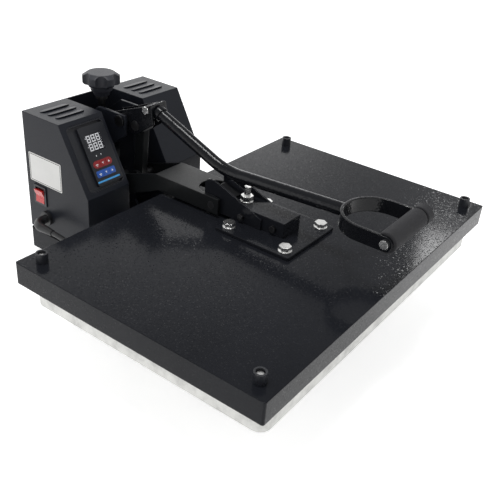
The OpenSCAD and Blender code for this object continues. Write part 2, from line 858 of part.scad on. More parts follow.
// Inverted channel: side plates, top plate with its front cut back to an arch, and the bar across its tail
module press_arm() {
    color("#2b2c2c") placed() {
        both_sides() across(arm_inner, arm_half) arm_wall_outline();
        translate([0, 0, top + arm_rise - arm_sheet]) linear_extrude(height = arm_sheet) difference() {
            translate([-arm_half, arm_front]) square([arm_w, web_back - arm_front]);
            translate([0, arch_y]) circle(r = arch_r);
            polygon([
                [-arm_inner, arm_front - 1], [arm_inner, arm_front - 1], [arch_r, arm_front + 14], [arch_r, arch_y],
                [-arch_r, arch_y], [-arch_r, arm_front + 14]
            ]);
        }
        translate([-arm_inner - 1, screw_y - tail_d / 2 + 1, tail_top - tail_h]) cube([2 * arm_inner + 2, tail_d, tail_h]);
    }
}

// Pin that takes the link, with a sleeve on each side of it, and pin that carries the yoke
module arm_pins() {
    color("#8d9092") placed() {
        x_rod(link_pin, pin_r, arm_half);
        x_rod(yoke_pin, yoke_pin_d / 2, arm_half);
        both_sides() translate([link_half + slip, link_pin[0], link_pin[1]]) rotate([0, 90, 0])
            tube_between(pin_r + 3, pin_r + slip, arm_inner - link_half - 2 * slip);
    }
}

// Yoke

module gusset_outline() {
    difference() {
        union() {
            polygon([
                [gusset_front, block_z], [gusset_front, top + 0.4 * gusset_rise], [gusset_back - 17, top + gusset_rise],
                [gusset_back - gusset_nose_r, top + gusset_rise - 1], [gusset_back, top + gusset_rise - gusset_nose_r - 0.5],
                [gusset_back, block_z]
            ]);
            translate([gusset_back - gusset_nose_r, top + gusset_rise - gusset_nose_r - 0.5]) circle(r = gusset_nose_r);
        }
        translate(yoke_pin) circle(d = yoke_pin_d + 2 * running);
        for (b = side_bolts) translate(b) circle(d = side_bolt_d + 2 * slip);
    }
}

// Two gusset plates with a sloping plate between them
module yoke() {
    color("#1a1b1d") placed() {
        both_sides() across(gusset_in, gusset_out) gusset_outline();
        across(-gusset_in - 1, gusset_in + 1)
            polygon([
                [gusset_back - 44, block_top], [gusset_back - 14, block_top + 10],
                [gusset_back - 14, block_top + 13], [gusset_back - 44, block_top + 3]
            ]);
    }
}

module press_block() {
    color("#1a1b1d") placed() difference() {
        translate([-block_w / 2, block_front, block_z]) cube([block_w, block_l, block_h]);
        translate([-block_w / 2 + block_wall, block_front + block_wall, block_z - 1])
            cube([block_w - 2 * block_wall, block_l - 2 * block_wall, block_h - block_wall + 1]);
        x_rod(yoke_pin, yoke_pin_d / 2 + running, block_w);
        for (b = side_bolts) x_rod(b, side_bolt_d / 2 + slip, block_w);
        translate([0, stud_y, block_z]) cylinder(d = stud_d + 2 * slip, h = block_h + 1);
    }
}

// Bolts through the sides of the block: the rear pair also holds the gussets
module yoke_bolts() {
    color("#3c3d3f") placed() both_sides() for (i = [0, 1]) {
        seat = i == 0 ? gusset_out : gusset_in;
        translate([gusset_in - block_wall - 2, side_bolts[i][0], side_bolts[i][1]]) rotate([0, 90, 0]) {
            cylinder(d = side_bolt_d, h = seat - gusset_in + block_wall + 3);
            translate([0, 0, seat - gusset_in + block_wall + 2]) cylinder(d = side_head_d, h = side_head_h, $fn = 6);
        }
    }
}

module mount_plate() {
    color("#1a1b1d") placed() translate([0, mount_y, mount_z]) linear_extrude(height = mount_t) difference() {
        rounded_rect(mount_w, mount_d, 3);
        four_corners(mount_bolt_x / 2, mount_bolt_y / 2) circle(d = mount_bolt_d + 2 * slip);
    }
}

// Four bolts with their washers
module mount_bolts() {
    shank = mount_t + top - platen_top + 12;
    color("#c8cacb") placed() translate([0, mount_y, mount_z + mount_t]) four_corners(mount_bolt_x / 2, mount_bolt_y / 2) {
        tube_between(mount_washer_d / 2, mount_bolt_d / 2 + slip, washer_t);
        translate([0, 0, washer_t]) cylinder(d = mount_head_d, h = mount_head_h, $fn = 6);
        translate([0, 0, -shank]) cylinder(d = mount_bolt_d, h = shank + washer_t);
    }
}

// Levelling stud with its nut and washer
module level_stud() {
    color("#c8cacb") placed() translate([0, stud_y, block_top]) {
        translate([0, 0, -block_wall - 4]) cylinder(d = stud_d, h = block_wall + 28);
        tube_between(stud_d, stud_d / 2 + slip, washer_t);
        translate([0, 0, washer_t]) difference() {
            cylinder(d = 19.6, h = 8, $fn = 6);
            translate([0, 0, -1]) cylinder(d = stud_d + 2 * slip, h = 10);
        }
    }
}

// Heated platen and its cover

module cover_spacers() {
    color("#8d9092") placed() translate([0, 0, platen_top]) {
        four_corners(post_x, post_y) tube_between(post_bolt_d / 2 + 3, post_bolt_d / 2 + slip, cover_under - platen_top);
        translate([0, mount_y, 0]) four_corners(mount_bolt_x / 2, mount_bolt_y / 2)
            tube_between(mount_bolt_d / 2 + 6, mount_bolt_d / 2 + slip, cover_under - platen_top);
    }
}

module platen_cover() {
    color("#232426") placed() difference() {
        translate([0, 0, cover_z]) linear_extrude(height = cover_h) rounded_rect(cover_w, cover_d, cover_corner_r);
        translate([0, 0, cover_z - 1]) linear_extrude(height = cover_h - cover_sheet + 1)
            rounded_rect(cover_w - 2 * cover_sheet, cover_d - 2 * cover_sheet, cover_corner_r - cover_sheet);
        translate([0, 0, top - cover_sheet - 1]) {
            four_corners(post_x, post_y) cylinder(d = post_bolt_d + 2 * slip, h = cover_sheet + 2);
            translate([0, mount_y, 0]) four_corners(mount_bolt_x / 2, mount_bolt_y / 2)
                cylinder(d = mount_bolt_d + 2 * slip, h = cover_sheet + 2);
        }
    }
}

module insulation() {
    color("#d9d2bd") placed() translate([0, 0, platen_top]) linear_extrude(height = insulation_t) difference() {
        rounded_rect(2 * (post_x - 12), 2 * (post_y - 12), platen_corner_r);
        translate([0, mount_y]) four_corners(mount_bolt_x / 2, mount_bolt_y / 2) circle(d = mount_bolt_d + 14);
    }
}

// Heating tube: straight runs along X joined by half rings, laid in grooves in the platen's top
heater_runs = [-150, -88, -2, 92, 150];
heater_half = 220;

module heater_element() {
    color("#6f6a66") placed() translate([0, 0, platen_top - heater_d / 2]) {
        for (y = heater_runs) translate([-heater_half, y, 0]) rotate([0, 90, 0]) cylinder(d = heater_d, h = 2 * heater_half);
        for (i = [0 : len(heater_runs) - 2]) {
            side = i % 2 == 0 ? 1 : -1;
            bend = (heater_runs[i + 1] - heater_runs[i]) / 2;
            translate([side * heater_half, heater_runs[i] + bend, 0]) rotate([0, 0, side > 0 ? -90 : 90])
                rotate_extrude(angle = 180) translate([bend, 0]) circle(d = heater_d);
        }
    }
}

module heater_grooves() {
    w = heater_d + 2 * slip;
    for (y = heater_runs) translate([-heater_half, y - w / 2]) square([2 * heater_half, w]);
    for (i = [0 : len(heater_runs) - 2]) {
        side = i % 2 == 0 ? 1 : -1;
        bend = (heater_runs[i + 1] - heater_runs[i]) / 2;
        translate([side * heater_half, heater_runs[i] + bend]) intersection() {
            difference() {
                circle(r = bend + w / 2);
                circle(r = bend - w / 2);
            }
            translate([side > 0 ? -0.5 : -bend - w, -bend - w]) square([bend + w + 0.5, 2 * bend + 2 * w]);
        }
    }
}

module heat_platen() {
    color("#b4b5b3") placed() difference() {
        translate([0, 0, platen_z]) linear_extrude(height = platen_t)
            rounded_rect(platen_w, platen_d, platen_corner_r);
        translate([0, 0, platen_top - heater_d]) linear_extrude(height = heater_d + 1) heater_grooves();
        translate([0, 0, platen_top - 13]) {
            four_corners(post_x, post_y) cylinder(d = post_bolt_d + 2 * running, h = 14);
            translate([0, mount_y, 0]) four_corners(mount_bolt_x / 2, mount_bolt_y / 2)
                cylinder(d = mount_bolt_d + 2 * running, h = 14);
        }
    }
}

module corner_posts() {
    color("#121213") placed() translate([0, 0, top]) four_corners(post_x, post_y) difference() {
        cylinder(d = post_d, h = post_h);
        translate([0, 0, -1]) cylinder(d = post_bolt_d + 2 * slip, h = post_h + 2);
        translate([0, 0, post_h - 7]) cylinder(d = 2 * post_bolt_d + 1, h = 8);
    }
}

module corner_bolts() {
    shank = post_h - 7 + top - platen_top + 12;
    color("#c8cacb") placed() translate([0, 0, top + post_h - 7]) four_corners(post_x, post_y) {
        translate([0, 0, -shank]) cylinder(d = post_bolt_d, h = shank);
        cylinder(d = 1.8 * post_bolt_d, h = 4);
    }
}

// Handle

// Places what is drawn along Z from the tube's corner on to its back run and its front run
module on_back_run() {
    rotate([90, 0, 90]) translate([tube_corner[0], tube_corner[1], 0]) rotate([0, 0, tube_lean])
        translate([tube_setback, 0, 0]) rotate([0, 90, 0]) children();
}

module on_front_run() {
    rotate([90, 0, 90]) translate([tube_corner[0], tube_corner[1], 0]) rotate([0, 0, tube_level + 180])
        translate([tube_setback, 0, 0]) rotate([0, 90, 0]) children();
}

back_run = norm(tube_back - tube_corner) - tube_setback;
front_run = norm(tube_corner - tube_front) - tube_setback - tube_d / 2 * abs(sin(tube_level)) - seat_gap;

// Bent tube: two straight runs and a bend that is drawn down a little
module handle_tube() {
    r = tube_d / 2;
    color("#17181a") placed() {
        on_back_run() tube_between(r, r - tube_wall, back_run);
        on_front_run() tube_between(r, r - tube_wall, front_run);
        rotate([90, 0, 90]) translate([tube_corner[0], tube_corner[1], 0]) rotate([0, 0, tube_level])
            translate([-tube_setback, tube_bend_r, 0]) rotate([0, 0, -90])
                rotate_extrude(angle = tube_turn) translate([tube_bend_r, 0]) difference() {
                    circle(r = r - bend_thinning);
                    circle(r = r - tube_wall + bend_thinning);
                }
    }
}

module fork_outline() {
    rise = [0.38, 0.925];
    difference() {
        union() {
            translate(pivot) circle(r = eye_r + 2);
            translate(crank) circle(r = eye_r);
            polygon([
                pivot + rise * (eye_r + 2) + fork_tail * [1, -0.4], fork_front, fork_front - fork_face * [0.17, 1],
                crank + [-0.34, -0.94] * eye_r, pivot + [0.1, -0.99] * (eye_r + 2), pivot + fork_tail * [1.07, -0.3]
            ]);
        }
        translate(pivot) circle(r = pin_r + running);
        translate(crank) circle(r = pin_r + running);
        translate(handle_bolt) circle(d = handle_bolt_d + 2 * slip);
    }
}

// Two plates with a block between them, to which the tube's end is welded
module handle_fork() {
    half = fork_in + fork_t / 2;
    color("#17181a") placed() {
        both_sides() across(fork_in, fork_out) fork_outline();
        across(-half, half) intersection() {
            fork_outline();
            translate(tube_back) rotate(tube_lean) translate([seat_gap, -collar_d / 2 - 2])
                square([fork_block_l, 2 * collar_d]);
        }
    }
}

// Ring round the tube's end
module handle_collar() {
    color("#1c1d1f") placed() on_back_run() translate([0, 0, back_run - collar_l])
        tube_between(collar_d / 2, tube_d / 2 + running, collar_l);
}

// Bolt through the fork and its block, and rod through the grip into its end cap
module handle_bolts() {
    color("#b9bbbc") placed() {
        x_rod(handle_bolt, handle_bolt_d / 2, fork_out);
        both_sides() translate([fork_out, handle_bolt[0], handle_bolt[1]]) rotate([0, 90, 0])
            cylinder(d = handle_bolt_d + 5, h = 2.5, $fn = 6);
        translate([-strap_w / 2, grip_y, grip_z]) rotate([0, 90, 0]) {
            cylinder(d = grip_rod_d, h = strap_w + cap_l / 2);
            translate([0, 0, -3]) cylinder(d = grip_rod_d + 4, h = 3);
        }
    }
}

module crank_pin() {
    color("#8d9092") placed() {
        x_rod(crank, pin_r, fork_out);
        both_sides() translate([fork_out, crank[0], crank[1]]) rotate([0, 90, 0]) cylinder(r = pin_r + 2, h = 2);
    }
}

// Flat bar bent round to carry the grip
module strap_plan(inset) {
    back = tube_front[0] - inset;
    long = 2 * strap_reach;
    translate([0, back - long / 2]) rounded_rect(strap_w - 2 * inset, long, strap_corner_r - inset);
}

module grip_strap() {
    color("#161718") placed() difference() {
        intersection() {
            translate([0, 0, grip_z - strap_h / 2]) linear_extrude(height = strap_h) difference() {
                strap_plan(0);
                strap_plan(strap_t);
            }
            across(-strap_w, strap_w) {
                translate([grip_y, grip_z]) circle(d = strap_h);
                translate([grip_y, grip_z - strap_h / 2]) square([strap_reach + strap_t, strap_h]);
            }
        }
        x_rod([grip_y, grip_z], grip_rod_d / 2 + slip, strap_w);
    }
}

module grip_bar() {
    half = strap_w / 2 - strap_t;
    r = grip_d / 2;
    color("#242526") placed() translate([0, grip_y, grip_z]) rotate([0, 90, 0]) rotate_extrude()
        polygon([
            [grip_rod_d / 2 + slip, -half], [r - 1, -half], [r, -half + 1], [r, half - 1], [r - 1, half],
            [grip_rod_d / 2 + slip, half]
        ]);
}

module grip_cap() {
    r = grip_d / 2;
    color("#242526") placed() translate([strap_w / 2, grip_y, grip_z]) rotate([0, 90, 0]) difference() {
        rotate_extrude() polygon([[0, 0], [r - 1, 0], [r, 1], [r, cap_l - 3], [r - 3, cap_l], [0, cap_l]]);
        translate([0, 0, -1]) cylinder(r = grip_rod_d / 2 + slip, h = cap_l / 2 + 2);
    }
}

// Link from the handle's crank pin down to the arm
module toggle_link() {
    along = link_pin - crank;
    color("#2a2b2d") placed() difference() {
        union() {
            across(-link_half, link_half) {
                translate(crank) circle(r = eye_r);
                translate(link_pin) circle(r = eye_r);
            }
            across(-link_body_half, link_body_half) translate(crank) rotate(atan2(along[1], along[0]))
                translate([0, -eye_r + 4]) square([norm(along), 2 * eye_r - 8]);
        }
        x_rod(crank, pin_r + running, link_half + 1);
        x_rod(link_pin, pin_r + link_slack, link_half + 1);
    }
}

// Pressure screw

module pressure_knob() {
    lobe_r = knob_d / 6;
    hub_step = 0.45 * knob_neck_h;
    color("#26282b") placed() translate([0, screw_y, knob_z]) difference() {
        union() {
            cylinder(d1 = 0.42 * knob_d, d2 = 0.5 * knob_d, h = hub_step);
            translate([0, 0, hub_step]) cylinder(d1 = 0.58 * knob_d, d2 = 0.64 * knob_d, h = knob_neck_h - hub_step);
            translate([0, 0, knob_neck_h]) difference() {
                union() {
                    cylinder(r1 = knob_d / 2 - 3, r2 = knob_d / 2, h = 3);
                    translate([0, 0, 3]) cylinder(d = knob_d, h = knob_head_h - 8);
                    translate([0, 0, knob_head_h - 5]) cylinder(r1 = knob_d / 2, r2 = knob_d / 2 - 8, h = 5);
                }
                for (i = [0 : knob_lobes - 1]) rotate(knob_angle + 360 * i / knob_lobes)
                    translate([knob_d / 2 + lobe_r * 0.25, 0, -1]) cylinder(r = lobe_r, h = knob_head_h + 2);
            }
        }
        translate([0, 0, -1]) cylinder(r = screw_r + running, h = screw_grip + 1);
    }
}

module pressure_screw() {
    color("#9a9da0") placed() translate([0, screw_y, 0]) {
        translate([0, 0, screw_z]) cylinder(r = screw_r, h = knob_z + screw_grip - screw_z);
        translate([0, 0, knob_z - knob_collar_h]) cylinder(r = screw_r + 3.5, h = knob_collar_h);
    }
}

// Swivelling foot on the screw's tip, which bears on the arm's tail
module swivel_pad() {
    color("#6f7274") placed() translate([0, screw_y, tail_top + press_gap]) difference() {
        cylinder(d = pad_foot_d, h = pad_foot_t);
        translate([0, 0, pad_foot_t - pad_socket]) cylinder(r = screw_r + running, h = pad_socket + 1);
    }
}

base_plinth();
base_beam();
base_front_foot();
rubber_feet();
bed_rails();
lower_bed();
silicone_pad();
tower_plates();
screw_bridge();
arm_hinge_pin();
handle_pivot();
left_box();
right_box();
rear_panel();
panel_tray();
keypad_plate();
display_window();
control_board();
solid_state_relay();
switch_housing();
switch_rocker();
key_red_set();
key_red_down();
key_red_up();
key_blue_set();
key_blue_down();
key_blue_up();
cord_gland();
cord_elbow();
mains_cord();
cord_coil();
mains_plug();
press_arm();
hinge_spacer();
arm_pins();
yoke();
press_block();
yoke_bolts();
mount_plate();
mount_bolts();
level_stud();
cover_spacers();
platen_cover();
insulation();
heater_element();
heat_platen();
corner_posts();
corner_bolts();
handle_tube();
handle_fork();
handle_collar();
handle_bolts();
crank_pin();
grip_strap();
grip_bar();
grip_cap();
toggle_link();
pressure_knob();
pressure_screw();
swivel_pad();
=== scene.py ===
"""Flat heat press: looks, panel print, louvres, mains lead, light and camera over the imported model."""
import json
import math

import bmesh
import bpy
from mathutils import Matrix, Vector


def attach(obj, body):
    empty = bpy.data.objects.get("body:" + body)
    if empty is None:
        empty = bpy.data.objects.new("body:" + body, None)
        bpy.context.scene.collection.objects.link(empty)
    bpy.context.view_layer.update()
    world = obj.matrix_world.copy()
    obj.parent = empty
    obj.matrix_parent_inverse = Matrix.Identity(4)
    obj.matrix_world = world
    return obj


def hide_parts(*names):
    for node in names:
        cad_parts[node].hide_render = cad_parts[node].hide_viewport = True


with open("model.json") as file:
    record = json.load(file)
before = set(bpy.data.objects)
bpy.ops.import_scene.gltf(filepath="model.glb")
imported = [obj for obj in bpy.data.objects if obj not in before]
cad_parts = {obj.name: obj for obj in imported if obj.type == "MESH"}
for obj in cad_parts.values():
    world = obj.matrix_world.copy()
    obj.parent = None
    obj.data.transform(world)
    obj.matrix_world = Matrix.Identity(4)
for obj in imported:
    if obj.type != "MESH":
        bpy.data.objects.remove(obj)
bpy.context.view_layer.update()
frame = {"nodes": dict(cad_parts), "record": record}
nodes = frame["nodes"]
MM = 0.001

# Camera at the photograph's viewpoint

LENS = 51.63
SENSOR = 36
CAMERA_PLACE = (-0.7823, -0.58055, 0.6497)
CAMERA_RIGHT = (0.59411, -0.80097, 0.07399)
CAMERA_UP = (0.37337, 0.35607, 0.85663)
CAMERA_BACK = (-0.71248, -0.48131, 0.51061)

cam_data = bpy.data.cameras.new("camera")
cam_data.lens = LENS
cam_data.sensor_width = SENSOR
cam = bpy.data.objects.new("camera", cam_data)
bpy.context.collection.objects.link(cam)
turn = Matrix((CAMERA_RIGHT, CAMERA_UP, CAMERA_BACK)).transposed().to_4x4()
cam.matrix_world = Matrix.Translation(CAMERA_PLACE) @ turn
bpy.context.scene.camera = cam

# Procedural materials

ROUGH_SPREAD = 0.08
COAT_ROUGH = 0.12
PAINT_PATCH = 9.0
PAINT_WEAR = 30.0
PAINT_SPREAD = 0.03
PAINT_EDGE = 1.7
CAST_PATCH = 38.0
CAST_WEAR = 90.0
CAST_GRAIN = 420.0
CAST_PIT = 0.4
CAST_EDGE = 1.0
PRINT_PATCH = 500.0
BEVEL_SAMPLES = 6
M = {}


class Build:
    """Node tree of one material, with short ways to add and link nodes."""

    def __init__(self, name):
        self.mat = bpy.data.materials.new(name)
        self.mat.use_nodes = True
        self.tree = self.mat.node_tree
        self.shader = self.tree.nodes["Principled BSDF"]
        self.coords = self.add("ShaderNodeTexCoord").outputs["Object"]

    def add(self, kind, **settings):
        """New node. A setting is a property of the node, or else the value of one of its inputs."""
        node = self.tree.nodes.new(kind)
        for key, value in settings.items():
            if hasattr(node, key):
                setattr(node, key, value)
            else:
                node.inputs[key].default_value = value
        return node

    def link(self, out, into):
        self.tree.links.new(out, into)

    def to(self, socket, out):
        """Links an output to one of the shader's sockets."""
        self.link(out, self.shader.inputs[socket])

    def fix(self, socket, value):
        """Sets a constant on one of the shader's sockets."""
        self.shader.inputs[socket].default_value = value

    def noise(self, scale, detail=4.0, roughness=0.55):
        node = self.add("ShaderNodeTexNoise", Scale=scale, Detail=detail, Roughness=roughness)
        self.link(self.coords, node.inputs["Vector"])
        return node.outputs["Fac"]

    def ramp(self, fac, stops):
        node = self.add("ShaderNodeValToRGB")
        elements = node.color_ramp.elements
        while len(elements) < len(stops):
            elements.new(0.5)
        for element, (place, tone) in zip(elements, stops):
            element.position = place
            element.color = (*tone, 1)
        self.link(fac, node.inputs["Fac"])
        return node.outputs["Color"]

    def span(self, fac, low, high):
        node = self.add("ShaderNodeMapRange", **{"To Min": low, "To Max": high})
        self.link(fac, node.inputs["Value"])
        return node.outputs["Result"]

    def bump(self, height, strength, depth, below):
        """Bumps of a depth in millimetres over the normal below."""
        node = self.add("ShaderNodeBump", Strength=strength, Distance=depth * MM)
        self.link(height, node.inputs["Height"])
        self.link(below, node.inputs["Normal"])
        return node.outputs["Normal"]

    def rounded(self, radius):
        """Normal with the edges softened to a radius in millimetres."""
        return self.add("ShaderNodeBevel", samples=BEVEL_SAMPLES, Radius=radius * MM).outputs["Normal"]


def shade(tone, factor):
    return tuple(min(1.0, c * factor) for c in tone)


def surface(name, tone, rough, grain, depth, spread, edge, patch, metal=0.0, coat=0.0, shine=0.5):
    """Plastic, rubber or metal with blotches of tone, a fine grain and softened edges.

    grain and patch are noise scales per metre; depth and edge are in millimetres.
    """
    b = Build(name)
    blotch = b.noise(patch, detail=6.0, roughness=0.6)
    fine = b.noise(grain, detail=3.0, roughness=0.6)
    stops = [(0.25, shade(tone, 1 - spread)), (0.75, shade(tone, 1 + spread))]
    b.to("Base Color", b.ramp(blotch, stops))
    b.to("Roughness", b.span(blotch, rough - ROUGH_SPREAD, rough + ROUGH_SPREAD))
    b.to("Normal", b.bump(fine, strength=0.6, depth=depth, below=b.rounded(edge)))
    b.fix("Metallic", metal)
    b.fix("Coat Weight", coat)
    b.fix("Coat Roughness", COAT_ROUGH)
    b.fix("Specular IOR Level", shine)
    M[name] = b.mat


def powder_coat(name, tone, rough, cell, tilt, shine, share=1.0):
    """Satin paint. A share of its facets lean, each its own way, and glint where they mirror a lamp.

    cell is the scale of the facets per metre and tilt is how far they lean.
    """
    b = Build(name)
    blotch = b.noise(PAINT_PATCH, detail=5.0)
    b.to("Base Color", b.ramp(blotch, [(0.3, shade(tone, 0.85)), (0.7, shade(tone, 1.15))]))
    b.to("Roughness", b.span(b.noise(PAINT_WEAR), rough - PAINT_SPREAD, rough + PAINT_SPREAD))
    facet = b.add("ShaderNodeTexVoronoi", Scale=cell)
    b.link(b.coords, facet.inputs["Vector"])
    lean = b.add("ShaderNodeVectorMath", operation="MULTIPLY_ADD")
    b.link(facet.outputs["Color"], lean.inputs[0])
    lean.inputs[1].default_value = (tilt, tilt, tilt)
    lean.inputs[2].default_value = (-tilt / 2, -tilt / 2, -tilt / 2)
    pick = b.add("ShaderNodeTexWhiteNoise")
    b.link(facet.outputs["Position"], pick.inputs["Vector"])
    leans = b.add("ShaderNodeMath", operation="LESS_THAN")
    b.link(pick.outputs["Value"], leans.inputs[0])
    leans.inputs[1].default_value = share
    chosen = b.add("ShaderNodeVectorMath", operation="SCALE")
    b.link(lean.outputs[0], chosen.inputs[0])
    b.link(leans.outputs[0], chosen.inputs["Scale"])
    total = b.add("ShaderNodeVectorMath", operation="ADD")
    b.link(b.rounded(PAINT_EDGE), total.inputs[0])
    b.link(chosen.outputs[0], total.inputs[1])
    unit = b.add("ShaderNodeVectorMath", operation="NORMALIZE")
    b.link(total.outputs[0], unit.inputs[0])
    b.to("Normal", unit.outputs[0])
    b.fix("Specular IOR Level", shine)
    M[name] = b.mat


def cast(name, tone, rough):
    """Cast or machined aluminium: mottled tone and small pits."""
    b = Build(name)
    blotch = b.noise(CAST_PATCH, detail=8.0, roughness=0.7)
    stops = [(0.3, shade(tone, 0.72)), (0.5, tone), (0.72, shade(tone, 1.18))]
    b.to("Base Color", b.ramp(blotch, stops))
    b.to("Roughness", b.span(b.noise(CAST_WEAR), rough - 0.1, rough + 0.12))
    pits = b.noise(CAST_GRAIN)
    b.to("Normal", b.bump(pits, strength=0.45, depth=CAST_PIT, below=b.rounded(CAST_EDGE)))
    b.fix("Metallic", 0.75)
    M[name] = b.mat


def glow(name, tone, strength):
    """Print and lit display segments: a flat ink with a slight glow of its own, which on the printed
    marks is painted brightness.
    """
    b = Build(name)
    b.to("Base Color", b.ramp(b.noise(PRINT_PATCH), [(0.3, shade(tone, 0.88)), (0.7, tone)]))
    b.fix("Roughness", 0.45)
    b.fix("Emission Color", (*tone, 1))
    b.fix("Emission Strength", strength)
    M[name] = b.mat


powder_coat("black_paint", (0.0118, 0.0128, 0.0162), rough=0.12,
            cell=740, tilt=0.13, shine=0.12, share=0.32)
powder_coat("dark_paint", (0.0128, 0.0146, 0.0202), rough=0.34,
            cell=900, tilt=0.05, shine=0.2)
powder_coat("arm_paint", (0.0085, 0.0095, 0.0105), rough=0.32,
            cell=800, tilt=0.05, shine=0.24)
powder_coat("tube_paint", (0.007, 0.0076, 0.0096), rough=0.12,
            cell=700, tilt=0.13, shine=0.24)
cast("bed_metal", (0.62, 0.62, 0.6), rough=0.5)
cast("platen_metal", (0.5, 0.5, 0.49), rough=0.42)
surface("zinc", (0.88, 0.88, 0.87), rough=0.26,
        grain=600, depth=0.08, spread=0.1, edge=0.5, patch=120, metal=1.0)
surface("steel", (0.075, 0.076, 0.08), rough=0.36,
        grain=600, depth=0.08, spread=0.2, edge=0.5, patch=90, metal=1.0)
surface("heater_metal", (0.28, 0.25, 0.23), rough=0.45,
        grain=400, depth=0.1, spread=0.25, edge=0.4, patch=50, metal=1.0)
surface("silicone", (0.55, 0.545, 0.52), rough=0.75,
        grain=900, depth=0.3, spread=0.1, edge=1.0, patch=25)
surface("black_rubber", (0.0075, 0.0078, 0.009), rough=0.45,
        grain=800, depth=0.1, spread=0.2, edge=0.6, patch=40)
# Near-black and nearly unshining: painted shadow for the shaded gap between the boxes and the base
surface("painted_shade_strip", (0.0022, 0.0023, 0.0027), rough=0.7,
        grain=600, depth=0.1, spread=0.2, edge=0.2, patch=40, shine=0.04)
surface("foam", (0.024, 0.024, 0.027), rough=0.9,
        grain=1300, depth=0.6, spread=0.25, edge=1.2, patch=60)
surface("blanket", (0.62, 0.57, 0.45), rough=0.95,
        grain=300, depth=0.8, spread=0.15, edge=1.0, patch=30)
surface("black_plastic", (0.0115, 0.0128, 0.0175), rough=0.42,
        grain=1200, depth=0.08, spread=0.15, edge=0.5, patch=50)
surface("knob_plastic", (0.02, 0.0218, 0.0295), rough=0.45,
        grain=1100, depth=0.25, spread=0.2, edge=1.8, patch=50)
surface("pale_plastic", (0.62, 0.62, 0.59), rough=0.45,
        grain=900, depth=0.08, spread=0.06, edge=0.5, patch=40)
surface("red_plastic", (0.66, 0.035, 0.035), rough=0.28,
        grain=700, depth=0.04, spread=0.08, edge=0.6, patch=60, coat=0.25)
surface("red_key", (0.3, 0.018, 0.022), rough=0.35,
        grain=900, depth=0.04, spread=0.1, edge=0.3, patch=80, coat=0.2)
surface("blue_key", (0.022, 0.105, 0.46), rough=0.35,
        grain=900, depth=0.04, spread=0.1, edge=0.3, patch=80, coat=0.2)
surface("display", (0.0105, 0.0115, 0.016), rough=0.2,
        grain=600, depth=0.02, spread=0.1, edge=0.3, patch=60, coat=0.2)
surface("board", (0.02, 0.1, 0.04), rough=0.4,
        grain=500, depth=0.05, spread=0.15, edge=0.2, patch=60)
surface("plate", (0.86, 0.86, 0.84), rough=0.5,
        grain=700, depth=0.04, spread=0.04, edge=0.3, patch=30)
surface("ink", (0.03, 0.03, 0.032), rough=0.5,
        grain=700, depth=0.04, spread=0.1, edge=0.1, patch=60)
# White and sky-blue ink that glows slightly: the display's lit segments, and painted brightness on the
# key marks, panel marks and bar
glow("white_print_glow", (0.72, 0.73, 0.76), strength=0.12)
glow("sky_print_glow", (0.06, 0.34, 0.72), strength=0.1)

slots = {s["node"]: s["material_slot"] for s in frame["record"]["subparts"]}
for name, obj in nodes.items():
    obj.data.materials.clear()
    obj.data.materials.append(M[slots[name]])

# Mesh helpers, in millimetres. Y counts from the platen's middle, which is MID in front of the origin

MID = 95.75


def placed(x, y, z):
    """Point of the shared frame, in metres."""
    return Vector((x * MM, (y - MID) * MM, z * MM))


def piece(name, bm, material, body="base"):
    """Object of its own with one material, riding a body."""
    mesh = bpy.data.meshes.new(name)
    bmesh.ops.recalc_face_normals(bm, faces=bm.faces)
    bm.to_mesh(mesh)
    bm.free()
    mesh.materials.append(M[material])
    obj = bpy.data.objects.new(name, mesh)
    bpy.context.collection.objects.link(obj)
    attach(obj, body)
    return obj


def outline(w, h, r, n=6):
    """Points of a rounded rectangle about the origin."""
    pts = []
    for cx, cy, start in ((1, 1, 0), (-1, 1, 90), (-1, -1, 180), (1, -1, 270)):
        for i in range(n + 1):
            a = math.radians(start + 90 * i / n)
            pts.append((cx * (w / 2 - r) + r * math.cos(a), cy * (h / 2 - r) + r * math.sin(a)))
    return pts


def shifted(points, dx, dy):
    return [(x + dx, y + dy) for x, y in points]


def plate(bm, loops, low, high, place):
    """Adds a thin plate between two heights, from an outer loop and any inner loops, put in place."""
    work = bmesh.new()
    edges = []
    for loop in loops:
        verts = [work.verts.new((x * MM, y * MM, low * MM)) for x, y in loop]
        edges += [work.edges.new((verts[i], verts[(i + 1) % len(verts)])) for i in range(len(verts))]
    flat = bmesh.ops.triangle_fill(work, use_beauty=True, use_dissolve=False, edges=edges)
    faces = [g for g in flat["geom"] if isinstance(g, bmesh.types.BMFace)]
    grown = bmesh.ops.extrude_face_region(work, geom=faces)
    moved = [g for g in grown["geom"] if isinstance(g, bmesh.types.BMVert)]
    bmesh.ops.translate(work, verts=moved, vec=(0, 0, (high - low) * MM))
    bmesh.ops.transform(work, matrix=place, verts=work.verts)
    mesh = bpy.data.meshes.new("work")
    work.to_mesh(mesh)
    work.free()
    bm.from_mesh(mesh)
    bpy.data.meshes.remove(mesh)


def sheet(name, loops, low, high, place, material):
    """Piece of the base that is a single plate."""
    bm = bmesh.new()
    plate(bm, loops, low, high, place)
    return piece(name, bm, material)


# Mains lead: the same route as the solids, as one curve

CORD_R = 4.0
LEAD_X, LEAD_Y = -158.5, 309
GLAND_Z = 78.3
FLOOR_Z = CORD_R + 0.2

# Steps along X and Y from the strain relief, and the share of its height that is left
ROUTE = [
    (0, 0, 1), (0, -8, 1), (0, -24, 0.985), (-1, -40, 0.93), (-3, -56, 0.835), (-6, -72, 0.7),
    (-10, -88, 0.55), (-14, -104, 0.4), (-18, -120, 0.265), (-22, -136, 0.152), (-25, -152, 0.067),
    (-26, -168, 0.018), (-26.5, -184, 0), (-26.5, -200, 0), (-26.5, -216, 0), (-26.5, -232, 0),
]
lead = [(LEAD_X + x, LEAD_Y + y, FLOOR_Z + f * (GLAND_Z - FLOOR_Z)) for x, y, f in ROUTE]

